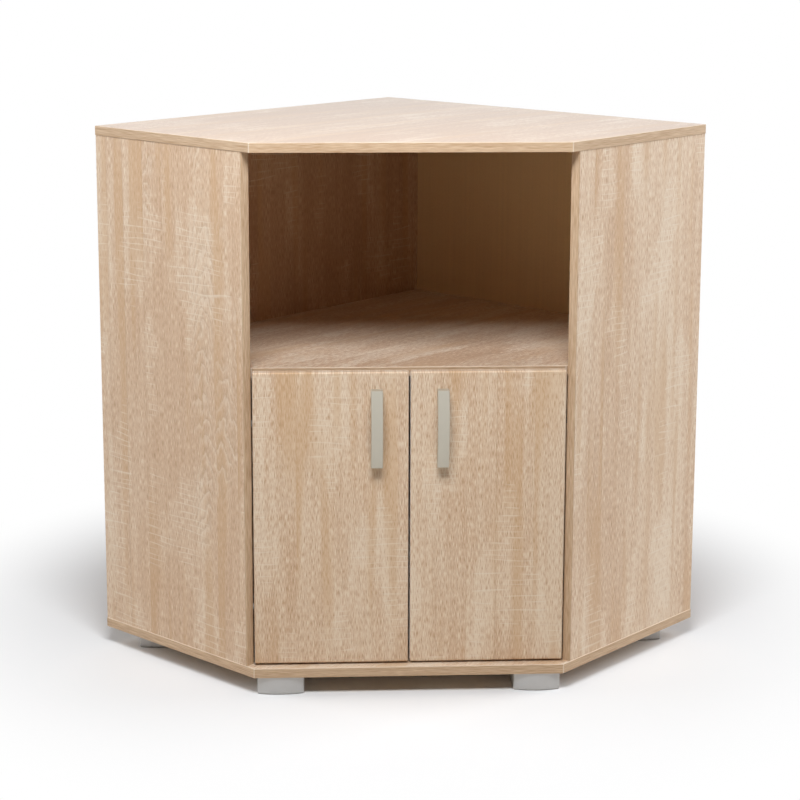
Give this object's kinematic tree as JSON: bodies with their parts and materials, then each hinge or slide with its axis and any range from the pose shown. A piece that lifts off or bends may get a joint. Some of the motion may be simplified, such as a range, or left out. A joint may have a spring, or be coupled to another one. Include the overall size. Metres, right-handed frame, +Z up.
{
  "type": "corner tv cabinet",
  "caption": "Five-sided corner cabinet for a television, with an open niche above a cupboard closed by hinged doors.",
  "frame": {"origin": "on the floor, below the middle of the bounding box", "axes": "+Z up, -Y towards the doors, +X to the right of someone who faces the doors"},
  "size_m": [1.0324, 0.7858, 0.91],
  "materials": {
    "oak_melamine_board": "melamine with a sawn pale oak print",
    "oak_edge_band": "printed edge band, pale oak",
    "oak_foil_door": "foil-wrapped board, pale oak",
    "hardboard": "painted hardboard, beige",
    "satin_handle_metal": "satin",
    "silver_foot_plastic": "satin silver",
    "nickel_plated_steel": "nickel plated",
    "zinc_plated_screw": "zinc plated",
    "zinc_fitting": "die-cast zinc",
    "beech_dowel": "plain beech"
  },
  "bodies": {
    "cabinet": {"back_board_brads": "zinc_plated_screw", "back_corner_foot": "silver_foot_plastic", "bottom_edge_bands": "oak_edge_band", "bottom_panel": "oak_melamine_board", "cam_bolts": "zinc_fitting", "cam_locks": "zinc_fitting", "confirmat_screws": "zinc_plated_screw", "dowels": "beech_dowel", "foot_screws": "zinc_plated_screw", "front_left_foot": "silver_foot_plastic", "front_right_foot": "silver_foot_plastic", "left_back_panel": "oak_melamine_board", "left_end_foot": "silver_foot_plastic", "left_hinge_arm_screws": "zinc_plated_screw", "left_hinge_plate_screws": "zinc_plated_screw", "left_lower_hinge_arm": "nickel_plated_steel", "left_lower_hinge_plate": "nickel_plated_steel", "left_side_panel": "oak_melamine_board", "left_upper_hinge_arm": "nickel_plated_steel", "left_upper_hinge_plate": "nickel_plated_steel", "middle_shelf": "oak_melamine_board", "right_back_board": "hardboard", "right_end_foot": "silver_foot_plastic", "right_hinge_arm_screws": "zinc_plated_screw", "right_hinge_plate_screws": "zinc_plated_screw", "right_lower_hinge_arm": "nickel_plated_steel", "right_lower_hinge_plate": "nickel_plated_steel", "right_side_panel": "oak_melamine_board", "right_upper_hinge_arm": "nickel_plated_steel", "right_upper_hinge_plate": "nickel_plated_steel", "shelf_edge_band": "oak_edge_band", "side_panel_bands": "oak_edge_band", "top_edge_bands": "oak_edge_band", "top_panel": "oak_melamine_board"},
    "left_door": {"left_door": "oak_foil_door", "left_handle": "satin_handle_metal", "left_handle_screws": "zinc_plated_screw", "left_hinge_cup_screws": "zinc_plated_screw", "left_lower_hinge_cup": "nickel_plated_steel", "left_lower_hinge_pin": "nickel_plated_steel", "left_upper_hinge_cup": "nickel_plated_steel", "left_upper_hinge_pin": "nickel_plated_steel"},
    "right_door": {"right_door": "oak_foil_door", "right_handle": "satin_handle_metal", "right_handle_screws": "zinc_plated_screw", "right_hinge_cup_screws": "zinc_plated_screw", "right_lower_hinge_cup": "nickel_plated_steel", "right_lower_hinge_pin": "nickel_plated_steel", "right_upper_hinge_cup": "nickel_plated_steel", "right_upper_hinge_pin": "nickel_plated_steel"}
  },
  "joints": [
    {"name": "left_door_hinge", "type": "hinge", "parent": "cabinet", "child": "left_door", "pos_m": [-0.24256, -0.36041, 0.294], "axis": [0, 0, 1], "range_deg": [-95, 0]},
    {"name": "right_door_hinge", "type": "hinge", "parent": "cabinet", "child": "right_door", "pos_m": [0.24256, -0.36041, 0.294], "axis": [0, 0, 1], "range_deg": [0, 95]}
  ]
}
